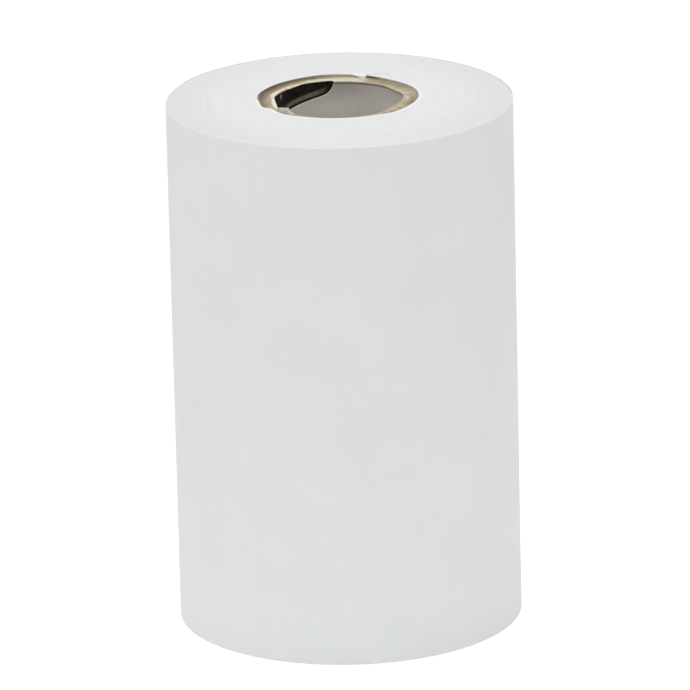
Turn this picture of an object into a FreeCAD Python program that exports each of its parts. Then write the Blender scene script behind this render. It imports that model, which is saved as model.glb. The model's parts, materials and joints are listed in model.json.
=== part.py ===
"""Short backdrop paper roll: a spirally wound board core with a paper web rolled on it.

The frame is in millimetres with +Z along the roll's axis. The origin is on that axis, in the plane of the
roll's lower rim, on which the roll stands. Angles are counted from +X towards +Y.
"""

import FreeCAD, Part
import os

import Sketcher
from FreeCAD import Rotation, Vector

DIMENSIONS = [
    ("roll_width", 210),  # width of the web, and length of the core
    ("roll_diameter", 136),  # outside diameter over the last turn
    ("bore_diameter", 50.8),  # clear bore of the core, for a two-inch crossbar
    ("inner_liner", 0.45),  # smooth ply that lines the bore
    ("barrier_ply", 0.45),  # dark glossy ply behind the inner liner
    ("body_ply", 0.6),  # one of the board plies that give the core its strength
    ("body_plies", 8),
    ("outer_liner", 0.4),  # the core's outermost ply
    ("paper", 0.22),  # thickness of the web
    ("face_rise", 1.6),  # how far the first turns have crept along the core
    ("flat_rim", 10),  # width of the outer band of turns that still lie square
    ("starter_width", 12),  # double-sided tape under the web's first edge
    ("starter_thickness", 0.1),
    ("starter_angle", 60),  # where the starter tape begins
    ("tail_angle", 4),  # where the loose end of the web leaves the roll
    ("tail_sweep", 150),  # how much of the last turn is loose
    ("tail_strips", 12),  # hinged strips that stand in for the flexible loose end
    ("tail_gap", 0.12),  # space between the loose end and the turn below it
    ("tail_short", 0.25),  # the loose end stops this much inside both rims
    ("strip_gap", 0.1),  # space between neighbouring strips
    ("tape_height", 25),  # closing tape on the loose end
    ("tape_thickness", 0.1),
    ("tape_on_tail", 12),  # degrees of the tape that lie on the loose end
    ("tape_past_tail", 16),  # degrees of it that reach past the edge
    ("tear_start", 94),  # a piece of the inner liner is missing at the upper end from here
    ("tear_knee", 101),  # its lower edge runs down steeply to here
    ("tear_drop", 5),  # depth of the edge below the upper end at the knee
    ("ply_lead", 30.5),  # from there the edge follows the ply, which falls this much in one turn
    ("tear_end", 204),
    ("margin", 1),  # how far cutting outlines reach past the material
]

CORE_RADIUS = (
    "(dims.bore_diameter / 2 + dims.inner_liner + dims.barrier_ply"
    " + dims.body_plies * dims.body_ply + dims.outer_liner)"
)
STRIP_ANGLE = "(dims.tail_sweep / dims.tail_strips)"
GAP_ANGLE = "(dims.strip_gap / (dims.roll_diameter / 2) * 180 / pi)"

doc = FreeCAD.newDocument("backdrop_paper_roll")


def make_sheet():
    """The spreadsheet of driving dimensions."""
    sheet = doc.addObject("Spreadsheet::Sheet", "dims")
    for row, (name, value) in enumerate(DIMENSIONS, start=1):
        sheet.set(f"A{row}", name)
        sheet.set(f"B{row}", str(value))
        sheet.setAlias(f"B{row}", name)
    doc.recompute()
    return sheet


sheet = make_sheet()


def value_of(expression):
    """The number that an expression over the sheet stands for."""
    return float(sheet.evalExpression(expression))


def make_body(label):
    body = doc.addObject("PartDesign::Body", label)
    body.Label = label
    return body


def origin_plane(body, role):
    return next(item for item in body.Origin.OriginFeatures if item.Role == role)


def add_sketch(body, name, role):
    sketch = body.newObject("Sketcher::SketchObject", name)
    sketch.AttachmentSupport = [(origin_plane(body, role), "")]
    sketch.MapMode = "FlatFace"
    return sketch


def face_towards(sketch, angle):
    """Turn a sketch that stands on the XZ plane, so that its X axis points at the angle."""
    sketch.AttachmentOffset = FreeCAD.Placement(Vector(), Rotation(Vector(0, 1, 0), 1))
    sketch.setExpression("AttachmentOffset.Rotation.Angle", angle)


def add_outline(sketch, corners):
    """Closed polygon whose corners are pairs of expressions, measured from the sketch's origin."""
    points = [Vector(value_of(across), value_of(up), 0) for across, up in corners]
    for index, point in enumerate(points):
        sketch.addGeometry(Part.LineSegment(point, points[(index + 1) % len(points)]), False)
    for index, (across, up) in enumerate(corners):
        following = (index + 1) % len(corners)
        sketch.addConstraint(Sketcher.Constraint("Coincident", index, 2, following, 1))
        for kind, expression, offset in (
            ("DistanceX", across, points[index].x),
            ("DistanceY", up, points[index].y),
        ):
            added = sketch.addConstraint(Sketcher.Constraint(kind, -1, 1, index, 1, offset))
            sketch.setExpression(f"Constraints[{added}]", expression)


def section(inner, outer, low, high):
    """Corners of a rectangular section between two radii and two levels."""
    return [(inner, low), (outer, low), (outer, high), (inner, high)]


def turn_about_axis(body, kind, sketch, sweep):
    """Revolution or Groove of a sketch about the roll's axis, counted from +X towards +Y."""
    feature = body.newObject(f"PartDesign::{kind}", f"{sketch.Name}_{kind}")
    feature.Profile = sketch
    feature.ReferenceAxis = (sketch, ["V_Axis"])
    feature.setExpression("Angle", sweep)
    sketch.Visibility = False
    doc.recompute()
    return feature


def ring_body(label, corners, sweep="360", start="0"):
    """Body made by turning a section about the axis through sweep degrees, from the angle start."""
    body = make_body(label)
    sketch = add_sketch(body, f"{label}_section", "XZ_Plane")
    add_outline(sketch, corners)
    turn_about_axis(body, "Revolution", sketch, sweep)
    body.setExpression("Placement.Rotation.Angle", start)
    doc.recompute()
    return body


def cut_groove(body, name, corners, sweep="360", start="0"):
    """Groove about the axis that must take material away."""
    before = body.Shape.Volume
    sketch = add_sketch(body, name, "XZ_Plane")
    face_towards(sketch, start)
    add_outline(sketch, corners)
    turn_about_axis(body, "Groove", sketch, sweep)
    if body.Shape.Volume >= before:
        raise RuntimeError(f"{name} cut nothing from {body.Label}")


def make_core():
    """Plies of the board tube, from the bore outwards."""
    plies = [("core_inner_liner", "dims.inner_liner"), ("core_barrier_ply", "dims.barrier_ply")]
    plies += [(f"core_body_ply_{number}", "dims.body_ply") for number in range(1, int(sheet.body_plies) + 1)]
    radius = "dims.bore_diameter / 2"
    bodies = []
    for label, thickness in plies:
        outer = f"{radius} + {thickness}"
        bodies.append(ring_body(label, section(radius, outer, "0", "dims.roll_width")))
        radius = outer
    tear_inner_liner(bodies[0])
    bodies.append(ring_body("core_outer_liner", crept_section(radius, CORE_RADIUS)))
    return bodies


def crept_section(inner, outer):
    """Section of a layer that has crept along the core together with the first turns of the web."""
    return section(inner, outer, "dims.face_rise", "dims.roll_width + dims.face_rise")


def tear_inner_liner(liner):
    """Take away the missing piece of the inner liner, at the upper end of the core."""
    before = liner.Shape.Volume
    middle = "(dims.tear_start + dims.tear_end) / 2"
    reach = f"dims.bore_diameter / 2 * sin(({middle} - dims.tear_start) * 1 deg)"
    knee = f"dims.bore_diameter / 2 * sin(({middle} - dims.tear_knee) * 1 deg)"
    drop = "dims.tear_drop"
    full_drop = f"{drop} + dims.ply_lead * (dims.tear_end - dims.tear_knee) / 360"
    sketch = add_sketch(liner, "missing_outline", "XZ_Plane")
    face_towards(sketch, f"{middle} - 90")
    add_outline(
        sketch,
        [
            (reach, "dims.roll_width"),
            (reach, "dims.roll_width + dims.margin"),
            (f"-({reach})", "dims.roll_width + dims.margin"),
            (f"-({reach})", f"dims.roll_width - ({full_drop})"),
            (knee, f"dims.roll_width - {drop}"),
        ],
    )
    pocket = liner.newObject("PartDesign::Pocket", "missing_piece")
    pocket.Profile = sketch
    pocket.Type = "Length"
    pocket.setExpression("Length", "dims.bore_diameter")
    sketch.Visibility = False
    doc.recompute()
    if liner.Shape.Volume >= before:
        raise RuntimeError("the missing piece cut nothing from the liner")


def make_web():
    """The rolled web: turns that grow by one thickness of paper on their way round."""
    body = make_body("wound_web")
    sketch = add_sketch(body, "wound_outline", "XY_Plane")
    # The turn that shows runs from the loose end's edge round the front to where the loose end leaves the
    # roll. A circle set off by half a thickness grows by one thickness on that way.
    towards = "(dims.tail_angle + dims.tail_sweep / 2 + 270) * 1 deg"
    across = f"dims.paper / 2 * cos({towards})"
    along = f"dims.paper / 2 * sin({towards})"
    radius = "(dims.roll_diameter - dims.paper) / 2"
    centre = Vector(value_of(across), value_of(along), 0)
    sketch.addGeometry(Part.Circle(centre, Vector(0, 0, 1), value_of(radius)), False)
    for constraint, expression in (
        (Sketcher.Constraint("DistanceX", -1, 1, 0, 3, centre.x), across),
        (Sketcher.Constraint("DistanceY", -1, 1, 0, 3, centre.y), along),
        (Sketcher.Constraint("Radius", 0, value_of(radius)), radius),
    ):
        added = sketch.addConstraint(constraint)
        sketch.setExpression(f"Constraints[{added}]", expression)
    pad = body.newObject("PartDesign::Pad", "wound_turns")
    pad.Profile = sketch
    pad.setExpression("Length", "dims.roll_width + dims.face_rise")
    sketch.Visibility = False
    doc.recompute()

    below = "-dims.margin"
    above = "dims.roll_width + dims.face_rise + dims.margin"
    outside = "dims.roll_diameter / 2 + dims.margin"
    inside = f"{CORE_RADIUS} - dims.margin"
    shoulder = "dims.roll_diameter / 2 - dims.flat_rim"
    cut_groove(body, "core_hole", section("0", CORE_RADIUS, below, above))
    cut_groove(
        body,
        "upper_face",
        [
            (inside, above),
            (inside, "dims.roll_width + dims.face_rise"),
            (CORE_RADIUS, "dims.roll_width + dims.face_rise"),
            (shoulder, "dims.roll_width"),
            (outside, "dims.roll_width"),
            (outside, above),
        ],
    )
    cut_groove(
        body,
        "lower_face",
        [
            (inside, below),
            (shoulder, below),
            (shoulder, "0"),
            (CORE_RADIUS, "dims.face_rise"),
            (inside, "dims.face_rise"),
        ],
    )
    cut_groove(
        body,
        "loose_end_recess",
        section("dims.roll_diameter / 2 - dims.paper - dims.tail_gap", outside, below, above),
        "dims.tail_sweep",
        "dims.tail_angle",
    )
    cut_groove(
        body,
        "starter_recess",
        section(inside, f"{CORE_RADIUS} + dims.starter_thickness", below, above),
        starter_sweep(),
        "dims.starter_angle",
    )
    return body


def starter_sweep():
    return f"dims.starter_width / {CORE_RADIUS} * 180 / pi"


def make_starter_tape():
    """Double-sided tape that holds the web's first edge to the core."""
    corners = crept_section(CORE_RADIUS, f"{CORE_RADIUS} + dims.starter_thickness")
    return ring_body("starter_tape", corners, starter_sweep(), "dims.starter_angle")


def make_tail():
    """The loose end of the web, in strips that lie one after another on the last turn."""
    corners = section(
        "dims.roll_diameter / 2 - dims.paper",
        "dims.roll_diameter / 2",
        "dims.tail_short",
        "dims.roll_width - dims.tail_short",
    )
    strips = []
    for number in range(int(sheet.tail_strips)):
        start = f"dims.tail_angle + {number} * {STRIP_ANGLE} + {GAP_ANGLE} / 2"
        label = f"tail_strip_{number + 1:02d}"
        strips.append(ring_body(label, corners, f"{STRIP_ANGLE} - {GAP_ANGLE}", start))
    return strips


def make_tail_tape():
    """Closing tape across the web's last edge, half on the loose end and half past it."""
    middle = "dims.roll_width / 2"
    corners = section(
        "dims.roll_diameter / 2",
        "dims.roll_diameter / 2 + dims.tape_thickness",
        f"{middle} - dims.tape_height / 2",
        f"{middle} + dims.tape_height / 2",
    )
    start = "dims.tail_angle + dims.tail_sweep - dims.tape_on_tail"
    return ring_body("tail_tape", corners, "dims.tape_on_tail + dims.tape_past_tail", start)


def check_document(pieces):
    """Stop if any object failed, or a piece has no valid solid."""
    for item in doc.Objects:
        if "Invalid" in item.State or "Error" in item.State:
            raise RuntimeError(f"{item.Name} failed: {item.State}")
    for piece in pieces:
        shape = piece.Shape
        if shape.isNull() or not shape.isValid() or len(shape.Solids) != 1:
            raise RuntimeError(f"{piece.Label} has no single valid solid")


def export(pieces):
    os.makedirs("parts", exist_ok=True)
    for piece in pieces:
        piece.Shape.exportStep(os.path.join("parts", f"{piece.Label}.step"))


pieces = make_core()
pieces.append(make_starter_tape())
pieces.append(make_web())
pieces += make_tail()
pieces.append(make_tail_tape())
doc.recompute()
check_document(pieces)
export(pieces)
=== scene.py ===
"""Looks of the short backdrop paper roll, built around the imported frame.

Lengths are metres, +Z points up along the roll's axis and the roll stands on the floor at z = 0.
Angles are degrees from +X towards +Y, so the camera's side is at 270 and the loose end is round the back.
"""

import json
import math

import bmesh
import bpy
import numpy as np
from mathutils import Matrix, Vector


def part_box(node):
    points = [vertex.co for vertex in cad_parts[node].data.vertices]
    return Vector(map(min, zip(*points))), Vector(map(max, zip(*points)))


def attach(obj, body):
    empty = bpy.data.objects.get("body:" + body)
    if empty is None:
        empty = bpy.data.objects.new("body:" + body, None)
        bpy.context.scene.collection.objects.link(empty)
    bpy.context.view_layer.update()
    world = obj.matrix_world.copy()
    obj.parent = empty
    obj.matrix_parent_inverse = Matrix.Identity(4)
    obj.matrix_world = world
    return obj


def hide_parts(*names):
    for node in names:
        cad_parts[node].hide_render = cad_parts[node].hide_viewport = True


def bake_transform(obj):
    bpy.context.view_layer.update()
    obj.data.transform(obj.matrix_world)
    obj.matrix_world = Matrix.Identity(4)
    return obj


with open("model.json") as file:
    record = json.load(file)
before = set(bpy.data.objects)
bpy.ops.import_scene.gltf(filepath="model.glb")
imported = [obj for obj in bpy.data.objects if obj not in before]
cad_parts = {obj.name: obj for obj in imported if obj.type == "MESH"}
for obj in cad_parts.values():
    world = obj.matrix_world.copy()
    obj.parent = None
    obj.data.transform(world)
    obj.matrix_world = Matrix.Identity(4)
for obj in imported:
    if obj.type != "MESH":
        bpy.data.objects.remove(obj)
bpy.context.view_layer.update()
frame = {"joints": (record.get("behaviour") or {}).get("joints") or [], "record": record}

MM = 0.001
FULL_TURN = 360.0

# ---------------------------------------------------------------------------------------------------
# Sizes read from the frame
# ---------------------------------------------------------------------------------------------------

hinges = frame["joints"]
hinge_points = [Vector(joint["pos_m"]) for joint in hinges]
hinge_angles = [math.degrees(math.atan2(point.y, point.x)) for point in hinge_points]

ROLL_R = math.hypot(hinge_points[0].x, hinge_points[0].y)
STRIP_ANGLE = hinge_angles[1] - hinge_angles[0]
TAIL_START = hinge_angles[0]
TAIL_END = TAIL_START + STRIP_ANGLE * len(hinges)

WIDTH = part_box("core_body_ply_1")[1].z
FACE_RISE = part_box("wound_web")[1].z - WIDTH
CORE_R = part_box("core_outer_liner")[1].x
BORE_R = next(m for m in frame["record"]["mounts"] if m["name"] == "core_bore")["dims"]["r_mm"] * MM
TAPE_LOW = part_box("tail_tape")[0].z
TAPE_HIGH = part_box("tail_tape")[1].z

# ---------------------------------------------------------------------------------------------------
# Sizes of the visible detail
# ---------------------------------------------------------------------------------------------------

PAPER = 0.22 * MM
TAIL_GAP = 0.12 * MM  # between the loose end and the turn below it
CLOSING_SWEEP = 10.0  # degrees in which that gap closes before the sheet's edge
FLAT_RIM = 10 * MM  # outermost turns, which have not crept
INNER_LINER = 0.45 * MM
BARRIER_PLY = 0.45 * MM
BODY_PLY = 0.6 * MM
BODY_PLIES = 8
OUTER_LINER = 0.4 * MM

TEAR_START = 93.9  # a piece of the inner liner is missing at the upper end from here
TEAR_END = 204.8
TEAR_DROP = 4.64 * MM  # its lower edge first falls steeply by this much
TEAR_BEND = 3.3  # degrees in which most of that is done
PLY_LEAD = 30.5 * MM  # then the edge follows the ply, which falls this much in one turn
FLAP_END = 219.5  # the torn end stands up from TEAR_END to here
FLAP_RISE = 1.35 * MM
FLAP_SHOULDER_END = FLAP_END + 7  # and tapers off to here

FIRST_EDGE = 69.6  # angle of the web's first edge, on the core
CORNER_END = 79.5  # its corner is folded in over the core's end up to here
KRAFT_END = 68.6  # the outer liner's other edge: its butted seam is open from here to the first edge
BULGE_DEPTH = 9 * MM  # the core and the first turns are out of round down to here
FULL_BULGE_DEPTH = 4 * MM  # and fully so above here
STARTER_START = 60.0  # double-sided tape under the first edge
STARTER_END = 81.8
STARTER_TAPE = 0.1 * MM  # thickness
CLOSING_TAPE = 0.1 * MM  # thickness
CLOSING_TAPE_START = TAIL_END - 12.0
CLOSING_TAPE_END = TAIL_END + 16.0


def smooth_step(low, high, value):
    """0 below low, 1 above high, and a smooth climb between them. Low may be above high."""
    share = np.clip((np.asarray(value, float) - low) / (high - low), 0, 1)
    return share * share * (3 - 2 * share)


def wrap(angles, lowest):
    """The same angles, counted within the full turn that starts at the lowest."""
    return (angles - lowest) % FULL_TURN + lowest


def bump(centre, width, value):
    """Bell curve of height 1."""
    return np.exp(-(((np.asarray(value, float) - centre) / width) ** 2))


def wander(seed, angles, harmonics, amplitude):
    """Smooth closed wave round the axis, a sum of seeded harmonics."""
    random = np.random.default_rng(seed)
    total = np.zeros_like(angles, dtype=float)
    for harmonic in harmonics:
        phase = random.uniform(0, 2 * math.pi)
        total += random.uniform(0.4, 1.0) * np.cos(harmonic * np.radians(angles) + phase)
    return amplitude * total / max(1.0, math.sqrt(len(harmonics)))


def polar_grid(radii, angles, heights):
    """Points from radii, angles and heights that broadcast to one grid."""
    radii, angles, heights = np.broadcast_arrays(radii, np.radians(angles), heights)
    return np.stack([radii * np.cos(angles), radii * np.sin(angles), heights], axis=-1)


# ---------------------------------------------------------------------------------------------------
# Mesh building
# ---------------------------------------------------------------------------------------------------


def grid_faces(rows, columns, wrap_rows, wrap_columns):
    """Quads of a grid of vertices numbered row by row."""
    row = np.arange(rows if wrap_rows else rows - 1)[:, None]
    column = np.arange(columns if wrap_columns else columns - 1)[None, :]
    next_row = (row + 1) % rows
    next_column = (column + 1) % columns
    corners = [
        row * columns + column,
        row * columns + next_column,
        next_row * columns + next_column,
        next_row * columns + column,
    ]
    return np.stack(np.broadcast_arrays(*corners), axis=-1).reshape(-1, 4)


def add_object(name, vertices, faces, smooth=True):
    """Mesh object whose faces all point outwards."""
    mesh = bpy.data.meshes.new(name)
    mesh.from_pydata(np.asarray(vertices, float).reshape(-1, 3).tolist(), [], [list(face) for face in faces])
    shaper = bmesh.new()
    shaper.from_mesh(mesh)
    bmesh.ops.recalc_face_normals(shaper, faces=shaper.faces)
    shaper.to_mesh(mesh)
    shaper.free()
    mesh.polygons.foreach_set("use_smooth", [smooth] * len(mesh.polygons))
    mesh.update()
    piece = bpy.data.objects.new(name, mesh)
    bpy.context.scene.collection.objects.link(piece)
    return piece


def loop_object(name, rows, angles, closed=True):
    """Solid from rows round its section, each with radii and heights. Unless closed, it has two end caps."""
    grid = np.stack([polar_grid(radii, angles, heights) for radii, heights in rows])
    count = len(angles)
    faces = grid_faces(len(rows), count, True, closed).tolist()
    if not closed:
        faces.append([row * count for row in range(len(rows))])
        faces.append([row * count + count - 1 for row in reversed(range(len(rows)))])
    return add_object(name, grid, faces)


def all_heights(rows, angles):
    """Height of every point of rows."""
    return np.stack([np.broadcast_to(heights, angles.shape) for radii, heights in rows])


def all_radii(rows, angles):
    """Radius of every point of rows."""
    return np.stack([np.broadcast_to(radii, angles.shape) for radii, heights in rows])


def set_attribute(piece, name, values):
    """One number for each vertex, for the materials to read."""
    attribute = piece.data.attributes.new(name, "FLOAT", "POINT")
    attribute.data.foreach_set("value", np.asarray(values, np.float32).ravel())


def set_sheet_map(piece):
    """UV map in metres of paper: across is the way round the roll from the last edge, up is the height."""
    mesh = piece.data
    corners = np.empty(len(mesh.loops), int)
    mesh.loops.foreach_get("vertex_index", corners)
    points = np.empty(3 * len(mesh.vertices))
    mesh.vertices.foreach_get("co", points)
    points = points.reshape(-1, 3)[corners]
    starts = np.empty(len(mesh.polygons), int)
    mesh.polygons.foreach_get("loop_start", starts)
    sizes = np.empty(len(mesh.polygons), int)
    mesh.polygons.foreach_get("loop_total", sizes)
    turn = (np.arctan2(points[:, 1], points[:, 0]) - math.radians(TAIL_END)) % (2 * math.pi)
    spread = np.maximum.reduceat(turn, starts) - np.minimum.reduceat(turn, starts)
    crosses = np.repeat(spread > math.pi, sizes)
    turn = np.where(crosses & (turn < math.pi), turn + 2 * math.pi, turn)
    layer = mesh.uv_layers.new(name="sheet")
    layer.data.foreach_set("uv", np.stack([turn * ROLL_R, points[:, 2]], axis=1).astype(np.float32).ravel())


def set_materials(piece, *materials):
    for material in materials:
        piece.data.materials.append(material)


def soften_edges(piece, angle):
    """Smooth shading with creases sharper than the angle kept."""
    limit = math.radians(angle)
    shaper = bmesh.new()
    shaper.from_mesh(piece.data)
    for edge in shaper.edges:
        edge.smooth = len(edge.link_faces) != 2 or edge.calc_face_angle(0) < limit
    shaper.to_mesh(piece.data)
    shaper.free()


# ---------------------------------------------------------------------------------------------------
# Materials
# ---------------------------------------------------------------------------------------------------


class Shader:
    """A material under construction: its nodes, and the few ways in which they are joined here."""

    def __init__(self, name, colour, roughness, specular):
        self.material = bpy.data.materials.new(name)
        self.material.use_nodes = True
        self.nodes = self.material.node_tree.nodes
        self.links = self.material.node_tree.links
        self.surface = self.nodes["Principled BSDF"]
        self.surface.inputs["Base Color"].default_value = (*colour, 1)
        self.surface.inputs["Roughness"].default_value = roughness
        self.surface.inputs["Specular IOR Level"].default_value = specular

    def node(self, kind, inputs=None, **settings):
        made = self.nodes.new(kind)
        for key, value in settings.items():
            setattr(made, key, value)
        for key, value in (inputs or {}).items():
            if isinstance(value, bpy.types.NodeSocket):
                self.links.new(value, made.inputs[key])
            else:
                made.inputs[key].default_value = value
        return made

    def math(self, operation, first, second=0.0):
        return self.node("ShaderNodeMath", {0: first, 1: second}, operation=operation).outputs[0]

    def place(self):
        return self.node("ShaderNodeTexCoord").outputs["Object"]

    def sheet_place(self):
        return self.node("ShaderNodeUVMap", uv_map="sheet").outputs["UV"]

    def stretched(self, place, scale):
        return self.node("ShaderNodeMapping", {"Vector": place, "Scale": scale}).outputs["Vector"]

    def noise(self, place, scale, detail=3.0, roughness=0.55):
        settings = {"Vector": place, "Scale": scale, "Detail": detail, "Roughness": roughness}
        return self.node("ShaderNodeTexNoise", settings).outputs["Fac"]

    def rings(self, radius, pitch, detail):
        """Noise that changes with the radius only."""
        settings = {"W": self.math("MULTIPLY", radius, 1 / pitch), "Scale": 1.0, "Detail": detail}
        return self.node("ShaderNodeTexNoise", settings, noise_dimensions="1D").outputs["Fac"]

    def distance(self, across, along):
        """Length of a level line, from its two parts."""
        squares = self.math("ADD", self.math("MULTIPLY", across, across), self.math("MULTIPLY", along, along))
        return self.math("SQRT", squares)

    def attribute(self, name):
        return self.node("ShaderNodeAttribute", attribute_name=name).outputs["Fac"]

    def ramp(self, value, low, high, to_low=0.0, to_high=1.0):
        settings = {"Value": value, "From Min": low, "From Max": high, "To Min": to_low, "To Max": to_high}
        made = self.node("ShaderNodeMapRange", settings, interpolation_type="SMOOTHSTEP")
        return made.outputs["Result"]

    def mix(self, share, first, second):
        """Colour between two colours, each a triple or a socket."""
        made = self.node("ShaderNodeMix", data_type="RGBA")
        for socket, value in ((made.inputs[0], share), (made.inputs[6], first), (made.inputs[7], second)):
            if isinstance(value, bpy.types.NodeSocket):
                self.links.new(value, socket)
            elif isinstance(value, tuple):
                socket.default_value = (*value, 1)
            else:
                socket.default_value = value
        return made.outputs[2]

    def colour(self, socket):
        self.links.new(socket, self.surface.inputs["Base Color"])

    def roughness(self, socket):
        self.links.new(socket, self.surface.inputs["Roughness"])

    def relief(self, height, depth, normal=None):
        """Relief of a height between 0 and 1, depth metres deep, which may lie on another relief."""
        inputs = {"Height": height, "Distance": depth, "Strength": 1.0}
        if normal is not None:
            inputs["Normal"] = normal
        made = self.node("ShaderNodeBump", inputs).outputs["Normal"]
        self.links.new(made, self.surface.inputs["Normal"])
        return made


PAPER_LIGHT = (0.705, 0.718, 0.719)
PAPER_DARK = (0.688, 0.701, 0.702)


def make_paper():
    """Face of the web: uncoated paper with a fine felt, faint clouds and the ghost of the turns below."""
    shader = Shader("web_paper", PAPER_LIGHT, 0.92, 0.06)
    place = shader.sheet_place()
    clouds = shader.noise(place, 38, 2.0)
    wires = shader.noise(shader.stretched(place, (700, 46, 1)), 1.0, 3.0)
    share = shader.math("ADD", shader.math("MULTIPLY", clouds, 0.7), shader.math("MULTIPLY", wires, 0.15))
    shader.colour(shader.mix(shader.ramp(share, 0.25, 0.62), PAPER_DARK, PAPER_LIGHT))
    felt = shader.noise(place, 2600, 3.0, 0.6)
    waves = shader.noise(shader.stretched(place, (95, 7, 1)), 1.0, 1.0)
    first = shader.relief(felt, 0.018 * MM)
    shader.relief(waves, 0.06 * MM, first)
    return shader.material


def make_paper_edges():
    """End face of the roll: fine lines of slit edges, a painted highlight by the core, and painted shade
    towards the rim on the left and right.
    """
    shader = Shader("web_slit_edges", PAPER_LIGHT, 0.93, 0.15)
    place = shader.place()
    split = shader.node("ShaderNodeSeparateXYZ", {"Vector": place})
    radius = shader.distance(split.outputs["X"], split.outputs["Y"])
    turns = shader.rings(radius, PAPER, 1.0)
    bands = shader.rings(radius, 14 * PAPER, 2.0)
    dust = shader.noise(place, 90, 3.0)
    share = shader.math("ADD", shader.math("MULTIPLY", turns, 0.35), shader.math("MULTIPLY", bands, 0.35))
    share = shader.math("ADD", share, shader.math("MULTIPLY", dust, 0.3))
    sideways = shader.math("DIVIDE", split.outputs["X"], radius)
    outer = shader.ramp(radius, 0.6 * ROLL_R, ROLL_R)
    # Painted shade: greyer towards the rim on the left and right only, standing in for the slit edges'
    # directional sheen.
    side_shade = shader.math("MULTIPLY", outer, shader.math("ABSOLUTE", sideways))
    light = shader.mix(side_shade, (0.702, 0.712, 0.709), (0.655, 0.666, 0.668))
    dark = shader.mix(side_shade, (0.680, 0.690, 0.686), (0.633, 0.644, 0.646))
    body = shader.mix(shader.ramp(share, 0.32, 0.68), dark, light)
    # Painted highlight: the slit edges turn almost white within a millimetre of the core.
    painted_light = shader.ramp(radius, CORE_R + 1.2 * MM, CORE_R + 0.3 * MM, 0.0, 0.9)
    shader.colour(shader.mix(painted_light, body, (0.88, 0.868, 0.845)))
    first = shader.relief(turns, 0.05 * MM)
    shader.relief(shader.noise(place, 3200, 2.0), 0.02 * MM, first)
    return shader.material


BOARD_TAN = (0.37, 0.31, 0.21)
BOARD_PALE = (0.49, 0.435, 0.325)
BOARD_BROWN = (0.235, 0.195, 0.128)
FIBRE_CREAM = (0.82, 0.765, 0.64)


def make_board():
    """Cut end of the board plies: mottled fibres, darker brown in places, partly painted shade, cream where
    the board is torn.
    """
    shader = Shader("core_board", BOARD_TAN, 0.9, 0.2)
    place = shader.place()
    fibres = shader.noise(place, 1100, 4.0, 0.65)
    patches = shader.noise(place, 260, 3.0)
    body = shader.mix(shader.ramp(patches, 0.35, 0.68), BOARD_TAN, BOARD_PALE)
    # Darker brown: painted shade on the left's outer plies and two painted shadows, and darker board on the
    # right.
    body = shader.mix(shader.attribute("brown"), body, BOARD_BROWN)
    body = shader.mix(shader.ramp(fibres, 0.45, 0.8, 0.0, 0.45), body, (0.27, 0.20, 0.12))
    pale = shader.mix(shader.ramp(fibres, 0.3, 0.7), (0.69, 0.63, 0.50), FIBRE_CREAM)
    shader.colour(shader.mix(shader.attribute("torn"), body, pale))
    shader.relief(fibres, 0.12 * MM)
    return shader.material


def make_kraft():
    """The core's outer liner: brown kraft as a darker shaded copy on the left and back and a lighter lit copy
    on the right, with painted shade along its rim.
    """
    shader = Shader("core_kraft", BOARD_BROWN, 0.82, 0.25)
    place = shader.place()
    fibres = shader.noise(shader.stretched(place, (1, 1, 4)), 420, 4.0, 0.6)
    # Painted shade and painted light: a darker shaded copy of the kraft for the left and back, and a lighter
    # lit copy for the right.
    kraft_shaded = shader.mix(shader.ramp(fibres, 0.3, 0.75), (0.29, 0.25, 0.18), (0.41, 0.355, 0.265))
    painted_light = shader.mix(shader.ramp(fibres, 0.3, 0.75), (0.50, 0.44, 0.335), (0.64, 0.565, 0.45))
    body = shader.mix(shader.attribute("painted_light"), kraft_shaded, painted_light)
    # Painted shade along the rim, where the first turns stand over the liner.
    shader.colour(shader.mix(shader.attribute("rim"), body, (0.12, 0.10, 0.065)))
    shader.relief(fibres, 0.08 * MM)
    return shader.material


def helix_share(shader, place):
    """How far a point is up from the last slanting edge of a helical ply, in turns of the ply."""
    split = shader.node("ShaderNodeSeparateXYZ", {"Vector": place})
    turn = shader.math("ARCTAN2", split.outputs["Y"], split.outputs["X"])
    turn = shader.math("MULTIPLY", shader.math("SUBTRACT", turn, math.radians(TEAR_START)), 1 / (2 * math.pi))
    drop = shader.math("DIVIDE", shader.math("SUBTRACT", split.outputs["Z"], WIDTH - TEAR_DROP), PLY_LEAD)
    return shader.math("FRACT", shader.math("ADD", drop, turn))


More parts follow.
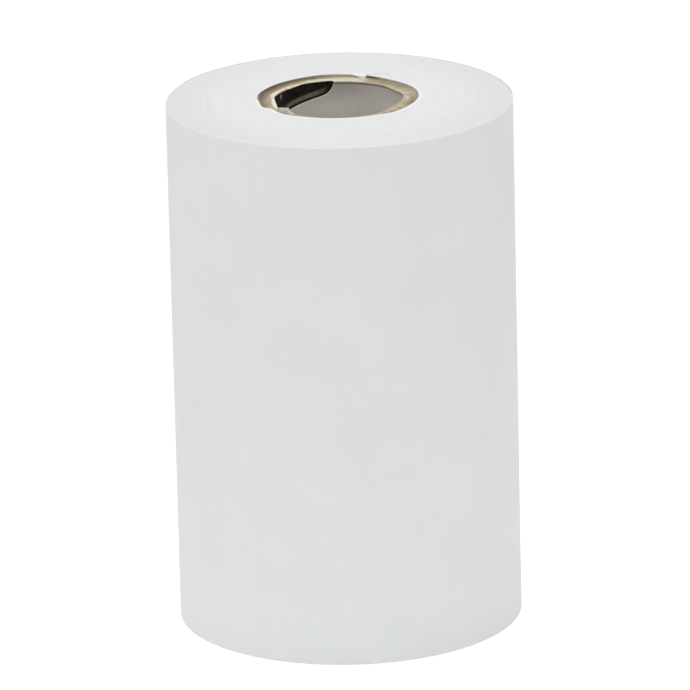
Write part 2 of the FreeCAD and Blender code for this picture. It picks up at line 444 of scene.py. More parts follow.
def make_inner_liner():
    """Bore surface: grey-beige with a butted seam, painted shade near the end of the core, less so on the
    right, and a painted shadow line just under the end.
    """
    shader = Shader("core_liner", (0.42, 0.39, 0.35), 0.62, 0.35)
    place = shader.place()
    split = shader.node("ShaderNodeSeparateXYZ", {"Vector": place})
    height = split.outputs["Z"]
    grain = shader.noise(shader.stretched(place, (1, 1, 0.35)), 520, 4.0, 0.6)
    cloud = shader.noise(place, 55, 2.0)
    body = shader.mix(shader.ramp(cloud, 0.3, 0.7), (0.67, 0.63, 0.59), (0.74, 0.70, 0.66))
    body = shader.mix(shader.ramp(grain, 0.5, 0.85, 0.0, 0.3), body, (0.60, 0.555, 0.505))
    # Painted shade: the bore wall darkens towards the end of the core, less on the right, where the key light
    # reaches.
    depth_share = shader.ramp(height, WIDTH - 12 * MM, WIDTH - 0.5 * MM, 0.0, 0.72)
    shade_fading_right = shader.ramp(split.outputs["X"], 0.1 * BORE_R, 0.7 * BORE_R, 1.0, 0.58)
    depth_share = shader.math("MULTIPLY", depth_share, shade_fading_right)
    body = shader.mix(depth_share, body, (0.235, 0.21, 0.175))
    # Painted shadow: a near-black line just under the core's end, cast by its edge.
    rim_share = shader.ramp(height, WIDTH - 1.3 * MM, WIDTH - 0.3 * MM, 0.0, 0.87)
    body = shader.mix(rim_share, body, (0.07, 0.055, 0.025))
    share = helix_share(shader, place)
    seam = shader.math("ABSOLUTE", shader.math("SUBTRACT", share, 0.5))
    seam = shader.ramp(seam, 0.5 - 0.45 * MM / PLY_LEAD, 0.5, 0.0, 0.8)
    seam_end = WIDTH - TEAR_DROP - PLY_LEAD
    below_tear = shader.ramp(height, seam_end, seam_end + 0.2 * PLY_LEAD, 1.0, 0.0)
    body = shader.mix(shader.math("MULTIPLY", seam, below_tear), body, (0.16, 0.14, 0.115))
    shader.colour(shader.mix(shader.attribute("cut"), body, (0.72, 0.70, 0.63)))
    shader.relief(grain, 0.02 * MM)
    return shader.material


def make_barrier():
    """Dark, resin-coated ply behind the liner: a dull painted reflection along the tear, a painted glint and
    a pale cut end.
    """
    shader = Shader("core_barrier", (0.012, 0.010, 0.008), 0.30, 0.10)
    place = shader.place()
    mottle = shader.noise(place, 300, 4.0, 0.6)
    body = shader.mix(shader.ramp(mottle, 0.35, 0.75), (0.006, 0.005, 0.005), (0.020, 0.016, 0.014))
    # Painted reflection: a dull olive band along the tear's edge on the dark ply.
    reflection_streak = shader.math("MULTIPLY", shader.attribute("reflection_streak"), shader.ramp(mottle, 0.2, 0.7, 0.55, 1.0))
    body = shader.mix(reflection_streak, body, (0.190, 0.170, 0.130))
    # Painted glint: a small pale spot on the dark ply.
    body = shader.mix(shader.attribute("glint"), body, (0.33, 0.29, 0.30))
    pale = shader.mix(shader.attribute("torn"), BOARD_PALE, FIBRE_CREAM)
    shader.colour(shader.mix(shader.attribute("end"), body, pale))
    shader.roughness(shader.ramp(mottle, 0.2, 0.8, 0.22, 0.45))
    shader.relief(mottle, 0.05 * MM)
    return shader.material


def make_torn_fibres():
    """Cream flakes of torn board."""
    shader = Shader("core_torn_fibres", FIBRE_CREAM, 0.95, 0.1)
    grain = shader.noise(shader.place(), 1500, 3.0)
    shader.colour(shader.mix(shader.ramp(grain, 0.3, 0.7), (0.68, 0.61, 0.48), (0.84, 0.80, 0.69)))
    shader.relief(grain, 0.05 * MM)
    return shader.material


def make_tape(name, light, dark):
    """Creped paper tape."""
    shader = Shader(name, light, 0.55, 0.35)
    place = shader.place()
    creases = shader.noise(shader.stretched(place, (1, 1, 0.12)), 1500, 3.0)
    shader.colour(shader.mix(shader.ramp(creases, 0.3, 0.75), dark, light))
    shader.relief(creases, 0.04 * MM)
    return shader.material


PAPER_FACE = make_paper()
PAPER_EDGES = make_paper_edges()
BOARD = make_board()
KRAFT = make_kraft()
LINER = make_inner_liner()
BARRIER = make_barrier()
TORN = make_torn_fibres()
TAIL_TAPE = make_tape("closing_tape", (0.74, 0.68, 0.52), (0.62, 0.55, 0.40))
STARTER_FILM = make_tape("starter_tape_film", (0.70, 0.66, 0.55), (0.58, 0.54, 0.43))


# ---------------------------------------------------------------------------------------------------
# The rolled web
# ---------------------------------------------------------------------------------------------------

EDGE_ROUND = 0.22 * MM  # slit edges of the outermost turn, softened by handling
RING_PITCH = 0.30 * MM  # one low step of the upper end face
LOWER_RING_PITCH = 0.90 * MM  # and of the lower one
DENSE_START = 44.0  # columns are close together from here, round the first edge
DENSE_END = 84.0


def web_columns():
    """Angles of the roll's columns: close together by the first edge, and at both ends of the loose end."""
    dense = np.arange(DENSE_START, DENSE_END, 0.5)
    open_part = np.arange(DENSE_END, DENSE_START + FULL_TURN, 2.0)
    steps = [edge + side * 0.003 for edge in (TAIL_START + FULL_TURN, TAIL_END) for side in (-1, 1)]
    return np.unique(np.concatenate([dense, open_part, steps]))


def outer_radius(angles):
    """Outside of the roll below the loose end, and of the last turn where it is not loose."""
    past_end = (angles - TAIL_END) % FULL_TURN
    front_sweep = FULL_TURN - (TAIL_END - TAIL_START)
    grown = ROLL_R - PAPER * (1 - past_end / front_sweep)
    gap = TAIL_GAP * smooth_step(0, CLOSING_SWEEP, FULL_TURN - past_end)
    return np.where(past_end <= front_sweep, grown, ROLL_R - PAPER - gap)


# Knocks in the edges of the first turns: angle, width in degrees, and rise in millimetres.
LIP_KNOCKS = (
    (45, 20, -0.28),
    (100, 20, 0.30),
    (168, 7, 0.40),
    (197, 8, -0.85),
    (214, 6, 0.45),
    (229, 9, -0.30),
    (312, 12, -0.40),
)


def creep(radii, angles):
    """How far the turns have crept along the core: most at the core, more at the front than at the back."""
    shoulder = ROLL_R - FLAT_RIM
    share = np.clip((shoulder - radii) / (shoulder - CORE_R), 0, 1)
    round_the_core = 0.86 - 0.14 * np.sin(np.radians(angles))
    knocks = sum(rise * MM * bump(middle, width, angles % FULL_TURN) for middle, width, rise in LIP_KNOCKS)
    return FACE_RISE * share**1.6 * round_the_core + knocks * smooth_step(CORE_R + 7 * MM, CORE_R, radii)


def core_bulge(angles):
    """The core's outer liner is pushed out a little at the upper end, on the left."""
    return 0.8 * MM * bump(177.5, 6, angles % FULL_TURN)


BRIDGE_MIDDLE = FIRST_EDGE - 8.7
BRIDGE_HALF = 8.9  # degrees to each side of its middle
BRIDGE_REACH = 7.4 * MM  # how far it spreads from the core
BRIDGE_RISE = 0.2 * MM
BRIDGE_CREASE = 0.75 * MM


def first_edge_bridge(radii, angles):
    """The turns bridge over the web's first edge: a low blister, with a crease just inside its outline."""
    arch = np.clip(1 - ((angles - BRIDGE_MIDDLE) / BRIDGE_HALF) ** 2, 0, 1) ** 0.8
    inwards = CORE_R + BRIDGE_REACH * arch - radii
    blister = BRIDGE_RISE * arch * smooth_step(0.5 * MM, 4 * MM, inwards)
    fading = smooth_step(BRIDGE_MIDDLE - 7.9, BRIDGE_MIDDLE - 2.9, angles)
    step_share = smooth_step(-0.25 * MM, 0.45 * MM, inwards) * fading
    sunk = BRIDGE_CREASE * smooth_step(0, 0.3, arch) * bump(0, 1.5 * MM, inwards) * step_share
    return blister - sunk


def lip_share(angles):
    """1 where the first turns' edges lean over the core's outer liner, on the right."""
    from_right = wrap(angles, -180)
    return smooth_step(-72, -48, from_right) * smooth_step(60, 40, from_right)


def inner_radius(angles, heights):
    """Inside of the rolled web: round the tape, the open seam and the bulge, and over the liner's end."""
    over_tape = smooth_step(STARTER_START - 0.6, STARTER_START, angles)
    over_tape = over_tape * smooth_step(STARTER_END + 0.6, STARTER_END, angles)
    hollow = smooth_step(FIRST_EDGE + 0.3, FIRST_EDGE - 0.1, angles)
    hollow = 0.35 * MM * hollow * smooth_step(KRAFT_END - 1.6, KRAFT_END - 0.2, angles)
    near_end = smooth_step(WIDTH - BULGE_DEPTH, WIDTH - FULL_BULGE_DEPTH, heights)
    over_liner = (heights > WIDTH + creep(CORE_R, angles) - 0.3 * MM) * lip_share(angles)
    pushed = (hollow + core_bulge(angles)) * near_end
    return CORE_R + STARTER_TAPE * over_tape - OUTER_LINER * over_liner + pushed


def end_face_rows(angles, pitch, upper, seed):
    """Rows of an end face from the outer edge inwards, with a low step for each turn or few turns."""
    random = np.random.default_rng(seed)
    outer = outer_radius(angles)
    level, outwards = (WIDTH, 1) if upper else (0.0, -1)
    rows = [
        (outer, level - outwards * 1.0 * MM),
        (outer, level - outwards * EDGE_ROUND),
        (outer - 0.3 * EDGE_ROUND, level - outwards * 0.3 * EDGE_ROUND),
        (outer - EDGE_ROUND, level),
    ]
    count = int((ROLL_R - CORE_R - 3 * EDGE_ROUND) / pitch)
    step = 0.0
    for ring in range(count):
        step = 0.72 * step + random.normal(0, 0.016 * MM)
        uneven = step + wander(seed + ring, angles, (1, 2, 3, 5), 0.012 * MM)
        for inwards, lower in ((0.0, 0.03 * MM), (0.72 * pitch, 0.0)):
            radius = ROLL_R - 2 * EDGE_ROUND - ring * pitch - inwards
            if upper:
                height = uneven - lower + first_edge_bridge(radius, angles)
            else:
                height = np.abs(uneven) + lower
            rows.append((radius, level + creep(radius, angles) + height))
    return rows


def make_web():
    """All the wound turns as one solid, with its two end faces, its inside and its outside."""
    angles = web_columns()
    upper = end_face_rows(angles, RING_PITCH, True, 11)
    lower = end_face_rows(angles, LOWER_RING_PITCH, False, 12)
    lip = WIDTH + creep(CORE_R, angles) + 0.02 * MM
    inner_heights = [lip - depth * MM for depth in (0.0, 0.15, 0.5, 1.2, 2.5, 4.0, 6.0, 9.0, 14.0)]
    inner_heights += [0.3 * WIDTH, creep(CORE_R, angles)]
    inner_rows = [(inner_radius(angles, heights), heights) for heights in inner_heights]
    side_rows = [(outer_radius(angles), share * WIDTH) for share in (0.15, 0.35, 0.5, 0.65, 0.85)]
    rows = upper + inner_rows + lower[::-1] + side_rows
    piece = loop_object("web_roll", rows, angles)
    set_sheet_map(piece)
    set_materials(piece, PAPER_FACE, PAPER_EDGES)
    edge_rows = 3  # rows that round the outer edge over, on the sheet's face
    slots = np.zeros(len(rows), int)
    slots[edge_rows : len(upper) - 1] = 1
    first_lower = len(upper) + len(inner_rows)
    slots[first_lower : first_lower + len(lower) - 1 - edge_rows] = 1
    piece.data.polygons.foreach_set("material_index", np.repeat(slots, len(angles)))
    soften_edges(piece, 50)
    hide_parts("wound_web")
    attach(piece, "roll")


def make_first_edge():
    """Corner of the web's first edge, folded in over the end of the core's outer liner."""
    angles = np.linspace(FIRST_EDGE + 0.2, CORNER_END, 28)
    drop = 1.35 * MM * smooth_step(CORNER_END, FIRST_EDGE + 2.0, angles) + 0.12 * MM
    top = WIDTH + creep(CORE_R, angles) + 0.16 * MM
    inside = CORE_R - OUTER_LINER - 0.04 * MM
    path = [
        (CORE_R + 0.55 * MM, top - 0.02 * MM),
        (CORE_R + 0.15 * MM, top + 0.04 * MM),
        (CORE_R - 0.20 * MM, top + 0.01 * MM),
        (inside + 0.02 * MM, top - 0.16 * MM),
        (inside - 0.02 * MM, top - 0.5 * drop),
        (inside - 0.10 * MM, top - drop),
    ]
    outside = [(radii + 0.5 * PAPER, heights + 0.5 * PAPER) for radii, heights in path[:3]]
    underside = [(radii - 0.3 * PAPER, heights - 0.8 * PAPER) for radii, heights in path[:3]]
    outside += [(radii - 0.6 * PAPER, heights) for radii, heights in path[3:]]
    underside += [(radii + 0.4 * PAPER, heights) for radii, heights in path[3:]]
    piece = loop_object("web_first_edge", outside + underside[::-1], angles, closed=False)
    set_sheet_map(piece)
    set_materials(piece, PAPER_EDGES)
    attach(piece, "roll")


# ---------------------------------------------------------------------------------------------------
# The loose end
# ---------------------------------------------------------------------------------------------------


def sheet_patch(name, inner, outer, angles, heights):
    """Closed thin patch of a cylinder between two radii."""
    front = polar_grid(outer, angles[None, :], heights[:, None])
    back = polar_grid(inner, angles[None, :], heights[:, None])
    rows, columns = len(heights), len(angles)
    count = rows * columns
    front_faces = grid_faces(rows, columns, False, False)
    back_faces = front_faces[:, ::-1] + count
    border = list(range(columns))
    border += [row * columns + columns - 1 for row in range(1, rows)]
    border += [(rows - 1) * columns + column for column in reversed(range(columns - 1))]
    border += [row * columns for row in reversed(range(1, rows - 1))]
    rim = []
    for index, vertex in enumerate(border):
        following = border[(index + 1) % len(border)]
        rim.append([vertex, vertex + count, following + count, following])
    vertices = np.concatenate([front.reshape(-1, 3), back.reshape(-1, 3)])
    faces = front_faces.tolist() + back_faces.tolist() + rim
    piece = add_object(name, vertices, faces)
    soften_edges(piece, 40)
    return piece


def bend_over_hinge(piece):
    """Bake the piece's placement into its mesh."""
    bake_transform(piece)


def make_tail():
    """The loose end, in pieces from the middle of one strip to the next, one piece for each hinge."""
    heights = np.linspace(0.02 * MM, WIDTH - 0.02 * MM, 15)
    for number in range(len(hinges)):
        last = number == len(hinges) - 1
        start = TAIL_START if number == 0 else hinge_angles[number] - STRIP_ANGLE / 2
        end = TAIL_END if last else hinge_angles[number] + STRIP_ANGLE / 2
        angles = np.arange(start, end + 1e-6, STRIP_ANGLE / 16)
        piece = sheet_patch(f"web_tail_{number + 1:02d}", ROLL_R - PAPER, ROLL_R, angles, heights)
        set_sheet_map(piece)
        set_materials(piece, PAPER_FACE)
        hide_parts(f"tail_strip_{number + 1:02d}")
        bend_over_hinge(piece)


def make_tail_tape():
    """Closing tape with torn ends, half on the loose end and half past it."""
    angles = np.linspace(CLOSING_TAPE_START, CLOSING_TAPE_END, 57)
    heights = np.linspace(TAPE_LOW, TAPE_HIGH, 41)
    piece = sheet_patch("closing_tape", ROLL_R, ROLL_R + CLOSING_TAPE, angles, heights)
    random = np.random.default_rng(5)
    teeth = random.uniform(-0.25, 0.25, len(heights)) + 0.45 * (np.arange(len(heights)) % 2)
    middle = 0.5 * (CLOSING_TAPE_START + CLOSING_TAPE_END)
    for vertex in piece.data.vertices:
        angle = math.degrees(math.atan2(vertex.co.y, vertex.co.x)) % FULL_TURN
        radius = math.hypot(vertex.co.x, vertex.co.y)
        row = round((vertex.co.z - TAPE_LOW) / (TAPE_HIGH - TAPE_LOW) * (len(heights) - 1))
        share = abs(angle - middle) / (CLOSING_TAPE_END - middle)
        moved = angle - math.copysign(teeth[row], angle - middle) * smooth_step(0.9, 1.0, share)
        below = ROLL_R - outer_radius(angle)
        settled = radius - below * smooth_step(TAIL_END + 0.3, TAIL_END + 2.5, angle)
        vertex.co.x = settled * math.cos(math.radians(moved))
        vertex.co.y = settled * math.sin(math.radians(moved))
    set_materials(piece, TAIL_TAPE)
    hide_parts("tail_tape")
    bend_over_hinge(piece)


# ---------------------------------------------------------------------------------------------------
# The board core
# ---------------------------------------------------------------------------------------------------


def torn_share(radii, angles):
    """How much of the board's cut end is torn open to pale fibre: along the tear, and in spots elsewhere."""
    angles = angles % FULL_TURN
    wide = smooth_step(70, 78, angles) * smooth_step(232, 222, angles)
    limit = BORE_R + 0.35 * MM + 2.1 * MM * wide - 1.2 * MM * smooth_step(163, 172, angles)
    spread = smooth_step(199, 216, angles) * smooth_step(234, 222, angles)
    limit = limit + (CORE_R - BORE_R - 1.7 * MM) * spread
    scuffed = 0.65 * smooth_step(62, 74, angles) * smooth_step(126, 106, angles)
    shares = np.maximum(smooth_step(0.7 * MM, -0.5 * MM, radii - limit) * (0.35 + 0.65 * wide), scuffed)
    shares = shares * (1 - 0.9 * smooth_step(200, 206, angles) * smooth_step(238, 228, angles))
    from_right = wrap(angles, -180)
    nick = 0.85 * bump(1.5, 5.5, from_right) * bump(BORE_R + 1.0 * MM, 1.0 * MM, radii)
    chafed = 0.18 * bump(18, 9, from_right)
    return np.maximum(shares, np.maximum(nick, chafed))


def dark_and_shade_share(radii, angles):
    """How much the board's cut end is dark: painted shade on the outer plies on the left, darker board on
    most plies on the right, and two spots of painted shadow.
    """
    from_right = wrap(angles, -90)
    # Painted shade on the outer plies on the left, under the raised first turns.
    left = smooth_step(116, 145, from_right) * smooth_step(BORE_R + 2.6 * MM, BORE_R + 4.3 * MM, radii)
    right = smooth_step(86, 62, from_right) * smooth_step(BORE_R + 1.2 * MM, BORE_R + 3.2 * MM, radii)
    right = right * (1 - 0.8 * bump(10, 18, from_right))
    # Painted shadows: a spot at the foot of the flap and a line under the lip of the first turns.
    behind_flap = bump(219, 6, from_right) * bump(BORE_R + 2.4 * MM, 1.0 * MM, radii)
    under_lip = bump(-14, 10, from_right) * bump(CORE_R - 2.6 * MM, 0.7 * MM, radii)
    return 0.75 * left + 0.5 * right + 0.9 * behind_flap + 0.6 * under_lip


def ply_object(name, inner, outer, top, bottom, angles, rounding, drops=()):
    """Closed tube of board with slightly rounded ends, and the rows that it is made from.

    Top and bottom are heights for each angle. Drops are depths below the top of further rows inside.
    """
    middle = 0.5 * (inner + outer)
    rows = [
        (inner, bottom + rounding),
        (inner + rounding, bottom),
        (middle, bottom),
        (outer - rounding, bottom),
        (outer, bottom + rounding),
        (outer, 0.5 * (top + bottom)),
        (outer, top - 1.5 * MM),
        (outer, top - rounding),
        (outer - rounding, top),
        (middle, top + 0.25 * rounding),
        (inner + rounding, top),
        (inner, top - rounding),
    ]
    rows += [(inner, top - drop) for drop in drops]
    rows.append((inner, 0.5 * (top + bottom)))
    return loop_object(name, rows, angles), rows


def make_body_plies():
    """Tan board plies, each with its own slightly uneven end, ragged where the board is torn."""
    angles = np.arange(0.0, FULL_TURN, 1.5)
    first = BORE_R + INNER_LINER + BARRIER_PLY
    for number in range(1, BODY_PLIES + 1):
        inner = first + (number - 1) * BODY_PLY + 0.01 * MM
        outer = inner + BODY_PLY - 0.02 * MM
        torn = torn_share(0.5 * (inner + outer), angles)
        ragged = wander(40 + number, angles, (7, 11, 17, 29, 43, 61), 0.10 * MM)
        top = WIDTH + wander(20 + number, angles, (1, 2, 3, 5), 0.03 * MM) + torn * (0.15 * MM + ragged)
        bottom = np.abs(wander(60 + number, angles, (1, 2, 3, 5), 0.03 * MM))
        piece, rows = ply_object(f"core_ply_{number}", inner, outer, top, bottom, angles, 0.07 * MM)
        radii = all_radii(rows, angles)
        near_top = smooth_step(WIDTH - 1.0 * MM, WIDTH - 0.3 * MM, all_heights(rows, angles))
        set_attribute(piece, "torn", torn_share(radii, angles[None, :]) * near_top)
        set_attribute(piece, "brown", dark_and_shade_share(radii, angles[None, :]))
        set_materials(piece, BOARD)
        soften_edges(piece, 60)
        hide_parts(f"core_body_ply_{number}")
        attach(piece, "roll")


def tear_depth(angles):
    """Depth of the missing piece's lower edge below the core's upper end."""
    past_start = np.clip(angles - TEAR_START, 0, None)
    return TEAR_DROP * (1 - np.exp(-past_start / TEAR_BEND)) + PLY_LEAD * past_start / FULL_TURN


def make_inner_liner_ply():
    """Bore liner with a piece torn out at its upper end, and the torn end standing up as a flap."""
    tear_steps = [TEAR_END + step for step in (-0.5, -0.2, 0.0, 0.2)]
    tear_steps += [TEAR_START, FLAP_END, FLAP_END + 0.8]
    angles = np.unique(np.concatenate([np.arange(0.0, FULL_TURN, 1.0), tear_steps]))
    in_tear = (angles > TEAR_START) & (angles < TEAR_END)
    ragged = wander(80, angles, (23, 37, 53, 71), 0.04 * MM)
    flap_angles = (TEAR_END, FLAP_END, FLAP_END + 0.8, FLAP_SHOULDER_END)
    flap_rises = (0.4 * MM, 0.4 * MM + FLAP_RISE, 0.55 * FLAP_RISE, 0)
    flap = np.interp(angles, flap_angles, flap_rises) * (angles >= TEAR_END)
    top = WIDTH + 0.03 * MM + 0.4 * ragged + flap
    top = np.where(in_tear, WIDTH - tear_depth(angles) + ragged, top)
    bottom = np.abs(wander(81, angles, (1, 2, 3), 0.03 * MM))
    drops = (0.25 * MM, 0.6 * MM, 1.2 * MM, 2.5 * MM, 5 * MM, 12 * MM)
    outer = BORE_R + INNER_LINER - 0.01 * MM
    piece, rows = ply_object("core_liner_ply", BORE_R, outer, top, bottom, angles, 0.06 * MM, drops)
    below = top[None, :] - all_heights(rows, angles)
    cut = smooth_step(0.42 * MM, 0.12 * MM, below) * np.where(in_tear | (flap > 0), 1.0, 0.35)[None, :]
    cut = np.maximum(cut, 0.95 * (flap > 0)[None, :] * (below < 2 * MM))
    set_attribute(piece, "cut", cut)
    set_materials(piece, LINER)
    soften_edges(piece, 60)
    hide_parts("core_inner_liner")
    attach(piece, "roll")


def make_barrier_ply():
    """Dark ply behind the liner, laid bare by the tear."""
    angles = np.arange(0.0, FULL_TURN, 1.0)
    inner = BORE_R + INNER_LINER + 0.01 * MM
    outer = inner + BARRIER_PLY - 0.02 * MM
    bared = smooth_step(93, 97, angles) * smooth_step(136, 122, angles)
    top = WIDTH - 0.05 * MM + 0.4 * MM * bared + wander(90, angles, (3, 7, 13, 31), 0.03 * MM)
    bottom = np.full_like(angles, 0.02 * MM)
    drops = tuple(depth * MM for depth in np.arange(0.4, 26, 0.4))
    piece, rows = ply_object("core_barrier", inner, outer, top, bottom, angles, 0.05 * MM, drops)
    radii = all_radii(rows, angles)
    heights = all_heights(rows, angles)
    end = smooth_step(WIDTH - 0.3 * MM, WIDTH - 0.12 * MM, heights)
    end = end * smooth_step(inner, inner + 0.1 * MM, radii)
    set_attribute(piece, "end", end * (1 - bared)[None, :])
    set_attribute(piece, "torn", torn_share(radii, angles[None, :]))
    above_edge = heights - (WIDTH - tear_depth(angles))[None, :]
    # Painted reflection: a band just above the tear's edge.
    along = smooth_step(150, 139, angles) * smooth_step(97, 112, angles)
    reflection_streak = smooth_step(0.7 * MM, 1.3 * MM, above_edge) * smooth_step(3.3 * MM, 2.3 * MM, above_edge)
    set_attribute(piece, "reflection_streak", reflection_streak * along[None, :])
    # Painted glint: a small spot high on the bared ply.
    glint = bump(151.5, 1.3, angles)[None, :] * bump(WIDTH - 1.8 * MM, 1.0 * MM, heights)
    set_attribute(piece, "glint", glint)
    set_materials(piece, BARRIER)
    soften_edges(piece, 60)
    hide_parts("core_barrier_ply")
    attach(piece, "roll")


def make_outer_liner():
    """Kraft liner that stands up with the first turns, with its butted seam open beside the first edge."""
    angles = np.linspace(FIRST_EDGE, KRAFT_END + FULL_TURN, 340)
    top = WIDTH + creep(CORE_R, angles) - 0.06 * MM + wander(95, angles, (5, 9, 19, 41), 0.03 * MM)
    top = top - 0.42 * MM * lip_share(angles)
    low = creep(CORE_R, angles)
    inner = CORE_R - OUTER_LINER + 0.01 * MM
    outer = CORE_R - 0.01 * MM
    pushed = outer + core_bulge(angles)
    rows = [(inner, low), (outer, low), (outer, top - BULGE_DEPTH), (pushed, top - FULL_BULGE_DEPTH)]
    rows += [(pushed, top), (inner + 0.15 * MM, top + 0.03 * MM), (inner, top - 0.05 * MM)]
    rows += [(inner, top - drop * MM) for drop in (0.6, 1.2, 2.4, 8.0)]
    piece = loop_object("core_kraft_liner", rows, angles, closed=False)
    depth = WIDTH + creep(CORE_R, angles)[None, :] - all_heights(rows, angles)
    from_right = wrap(angles, -90)
    # Painted shade along the liner's top edge, deepest on the back left and beside the first edge's corner.
    shaded = 0.15 + 0.3 * smooth_step(20, 60, from_right)
    shaded = shaded + 0.4 * bump(146, 26, from_right) + 0.8 * bump(66, 6, from_right)
    set_attribute(piece, "rim", smooth_step(1.3 * MM, 0.3 * MM, depth) * shaded[None, :])
    # Painted light: where the lighter lit copy of the kraft is used, on the right.
    painted_light = smooth_step(112, 88, from_right)
    set_attribute(piece, "painted_light", np.broadcast_to(painted_light, depth.shape))
    set_materials(piece, KRAFT)
    soften_edges(piece, 50)
    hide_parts("core_outer_liner")
    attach(piece, "roll")


FRAYED_SPANS = (("right", -82.0, 68.0, 0.05), ("left", 161.0, 206.0, 1.0))  # side, start, end, how torn
# Share of the way to the burr's lip, with its upper and lower side there, in millimetres.
FRAYED_SECTION = ((0.0, 0.02, -0.25), (0.35, 0.16, -0.22), (0.7, 0.20, -0.10), (1.0, 0.0, -0.05))
CHORD_MIDDLE = 186  # on the left the frayed edge is straight, a chord of the bore
CHORD_HALF = 17


def frayed_reach(angles):
    """Inner radius of the frayed fibre at the upper end of the bore."""
    from_right = wrap(angles, -180)
    right = 3.1 * MM * bump(-26, 24, from_right) + 1.1 * MM * bump(31, 15, from_right)
    past_middle = np.clip(from_right % FULL_TURN - CHORD_MIDDLE, -CHORD_HALF, CHORD_HALF)
    left = BORE_R * (1 - math.cos(math.radians(CHORD_HALF)) / np.cos(np.radians(past_middle)))
    return BORE_R + 0.5 * MM - right - left


def make_frayed_edge():
    """Soft burr of fibre that the cut has pushed over the edge of the bore, on two sides."""
    for name, start, end, torn in FRAYED_SPANS:
        angles = np.arange(start, end + 0.1, 1.0)
        closing = smooth_step(start, start + 5, angles) * smooth_step(end, end - 5, angles)
        reach = frayed_reach(angles) + wander(31, angles, (31, 47, 71, 97), 0.10 * MM) * closing
        outside = BORE_R + 1.3 * MM
        rows = []
        for share, upper, lower in FRAYED_SECTION:
            radius = outside + (reach - outside) * share
            droop = 0.12 * np.clip(BORE_R - radius, 0, None)
            uneven = wander(32 + int(10 * share), angles, (11, 23, 37, 59), 0.05 * MM)
            rows.append((radius, WIDTH + upper * MM + uneven * min(share, 1 - share) * 2 - droop, lower))
        top_rows = [(radius, height) for radius, height, lower in rows]
        low_rows = [(radius, height + (lower - 0.12) * MM) for radius, height, lower in reversed(rows)]
        piece = loop_object(f"core_frayed_edge_{name}", top_rows + low_rows, angles, closed=False)
        set_attribute(piece, "torn", np.full(len(piece.data.vertices), torn))
        set_attribute(piece, "brown", np.zeros(len(piece.data.vertices)))
        set_materials(piece, BOARD)
        soften_edges(piece, 50)
        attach(piece, "roll")


FLAKES = 150
# Corners of the four long sides of each half of a flake, and of its two ends.
FLAKE_SIDES = ((0, 2, 6, 4), (1, 5, 7, 3), (0, 4, 5, 1), (2, 3, 7, 6))
FLAKE_ENDS = ((0, 1, 3, 2), (8, 10, 11, 9))


def make_torn_rim():
    """Flakes and hairs of board along the torn part of the core's end."""
    random = np.random.default_rng(77)
    vertices = []
    faces = []
    for flake in range(FLAKES):
        angle = random.uniform(74, 217)
        across = (CORE_R - BORE_R - 2.4 * MM) * smooth_step(199, 216, angle)
        radius = BORE_R + random.uniform(0.45 * MM, 1.7 * MM) + random.uniform(0, 1) * across
        length = random.uniform(0.35 * MM, 1.0 * MM)
        wide = random.uniform(0.06 * MM, 0.16 * MM)
        lift = random.uniform(0.05 * MM, 0.35 * MM)
        heading = math.radians(angle + 90 + random.normal(0, 28))
        base = Vector(polar_grid(radius, np.array([angle]), WIDTH + 0.10 * MM)[0])
        way = Vector((math.cos(heading), math.sin(heading), 0))
        side = Vector((-way.y, way.x, 0)) * wide
        sections = []
        for share, height, thickness in ((0.0, 0.0, 1.0), (0.5, 0.7, 0.8), (1.0, 1.0, 0.25)):
            centre = base + way * (length * share) + Vector((0, 0, lift * height))
            sections.append((centre, side * thickness))
        first = len(vertices)
        for centre, half in sections:
            for corner in (-half, half):
                vertices.append(centre + corner + Vector((0, 0, 0.03 * MM)))
                vertices.append(centre + corner - Vector((0, 0, 0.05 * MM)))
        for near in (first, first + 4):
            faces += [[near + corner for corner in face] for face in FLAKE_SIDES]
        faces += [[first + corner for corner in face] for face in FLAKE_ENDS]
    piece = add_object("core_torn_rim", vertices, faces, smooth=False)
    set_materials(piece, TORN)
    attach(piece, "roll")


def make_starter_tape():
    """Double-sided tape between the core and the web's first edge, crept with them."""
    angles = np.linspace(STARTER_START, STARTER_END, 24)
    shares = np.linspace(0, 1, 9)
    inner = CORE_R + 0.005 * MM
    outer = CORE_R + STARTER_TAPE - 0.005 * MM
    piece = sheet_patch("starter_tape_strip", inner, outer, angles, shares)
    for vertex in piece.data.vertices:
        rise = float(creep(CORE_R, math.degrees(math.atan2(vertex.co.y, vertex.co.x))))
        vertex.co.z = rise + 0.3 * MM + vertex.co.z * (WIDTH - 0.6 * MM)
    set_materials(piece, STARTER_FILM)
    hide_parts("starter_tape")
    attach(piece, "roll")


# ---------------------------------------------------------------------------------------------------
# Floor, light and camera
# ---------------------------------------------------------------------------------------------------


FLOOR_HALF = 30.0
FLOOR_GLOW = 0.18  # strongest light of the floor itself, beside the roll on the right
SKY = 0.875
LIGHT_AIM = (0, 0, 0.1)  # about half-way up the roll


def make_floor():
    """White floor that glows by itself beside the roll, painted light that lights up the foot of the roll."""
    corners = ((-1, -1, 0), (1, -1, 0), (1, 1, 0), (-1, 1, 0))
    floor = add_object("floor", [Vector(corner) * FLOOR_HALF for corner in corners], [[0, 1, 2, 3]])
    shader = Shader("floor_white", (0.98, 0.98, 0.98), 0.95, 0.1)
    split = shader.node("ShaderNodeSeparateXYZ", {"Vector": shader.place()})
    to_right = shader.math("SUBTRACT", split.outputs["X"], 1.2 * ROLL_R)
    radius = shader.distance(to_right, split.outputs["Y"])
    shader.surface.inputs["Emission Color"].default_value = (1, 1, 1, 1)
    # Painted light: the floor glows by itself beside the roll, most on the right.
    glow = shader.ramp(radius, 1.5 * ROLL_R, 5 * ROLL_R, FLOOR_GLOW, 0.0)
    shader.links.new(glow, shader.surface.inputs["Emission Strength"])
    set_materials(floor, shader.material)


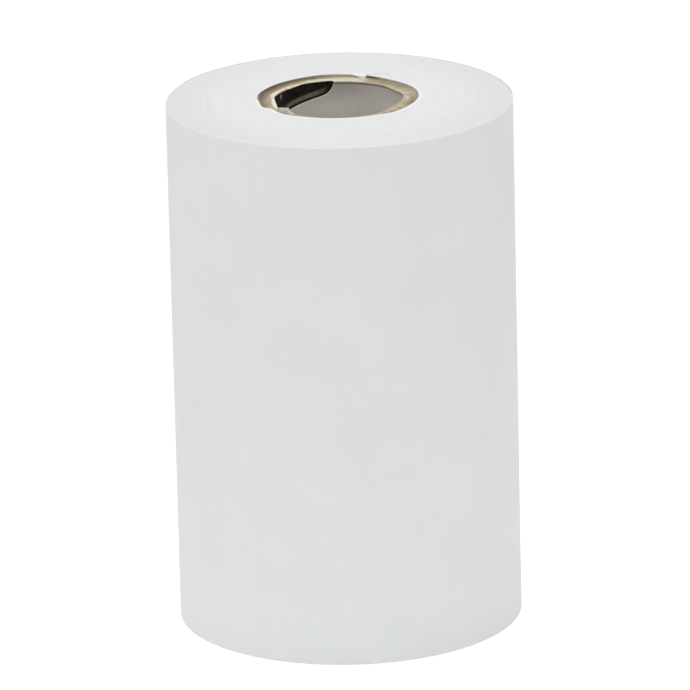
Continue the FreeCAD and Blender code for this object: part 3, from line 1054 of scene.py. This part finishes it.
def add_softbox(name, place, side, power):
    """Square light that is turned towards the roll."""
    light = bpy.data.lights.new(name, "AREA")
    light.size = side
    light.energy = power
    lamp = bpy.data.objects.new(name, light)
    lamp.location = place
    lamp.rotation_euler = (Vector(LIGHT_AIM) - Vector(place)).to_track_quat("-Z", "Y").to_euler()
    bpy.context.scene.collection.objects.link(lamp)


def make_light():
    """Even white surroundings, with a softbox on the left and one above."""
    world = bpy.data.worlds.new("studio")
    bpy.context.scene.world = world
    world.use_nodes = True
    sky = world.node_tree.nodes["Background"]
    sky.inputs["Color"].default_value = (1, 1, 1, 1)
    sky.inputs["Strength"].default_value = SKY
    add_softbox("left_softbox", place=(-0.8, -1.9, 1.3), side=1.4, power=3.0)
    add_softbox("top_softbox", place=(-0.2, 0.3, 1.9), side=1.2, power=10)


CAMERA_DISTANCE = 47.1 * ROLL_R
CAMERA_RISE = math.radians(17.84)
CAMERA_ROLL = math.radians(-1.34)
CAMERA_TILT = 0.0013  # radians, which moves the roll a little in the picture
CAMERA_SENSOR = 36
CAMERA_LENS = 423.7


def make_camera():
    """Long lens from the front, looking down on the roll's upper end."""
    data = bpy.data.cameras.new("camera")
    data.lens = CAMERA_LENS
    data.sensor_width = CAMERA_SENSOR
    camera = bpy.data.objects.new("camera", data)
    turn = Matrix.Rotation(math.pi / 2 - CAMERA_RISE, 4, "X")
    turn = turn @ Matrix.Rotation(CAMERA_ROLL, 4, "Z") @ Matrix.Rotation(CAMERA_TILT, 4, "X")
    back = -CAMERA_DISTANCE * math.cos(CAMERA_RISE)
    up = CAMERA_DISTANCE * math.sin(CAMERA_RISE) + WIDTH / 2
    camera.matrix_world = Matrix.Translation((0, back, up)) @ turn
    bpy.context.scene.collection.objects.link(camera)
    bpy.context.scene.camera = camera


make_camera()
make_floor()
make_light()
bpy.context.scene.view_settings.view_transform = "Standard"
make_web()
make_first_edge()
make_starter_tape()
make_tail()
make_tail_tape()
make_inner_liner_ply()
make_barrier_ply()
make_body_plies()
make_outer_liner()
make_frayed_edge()
make_torn_rim()
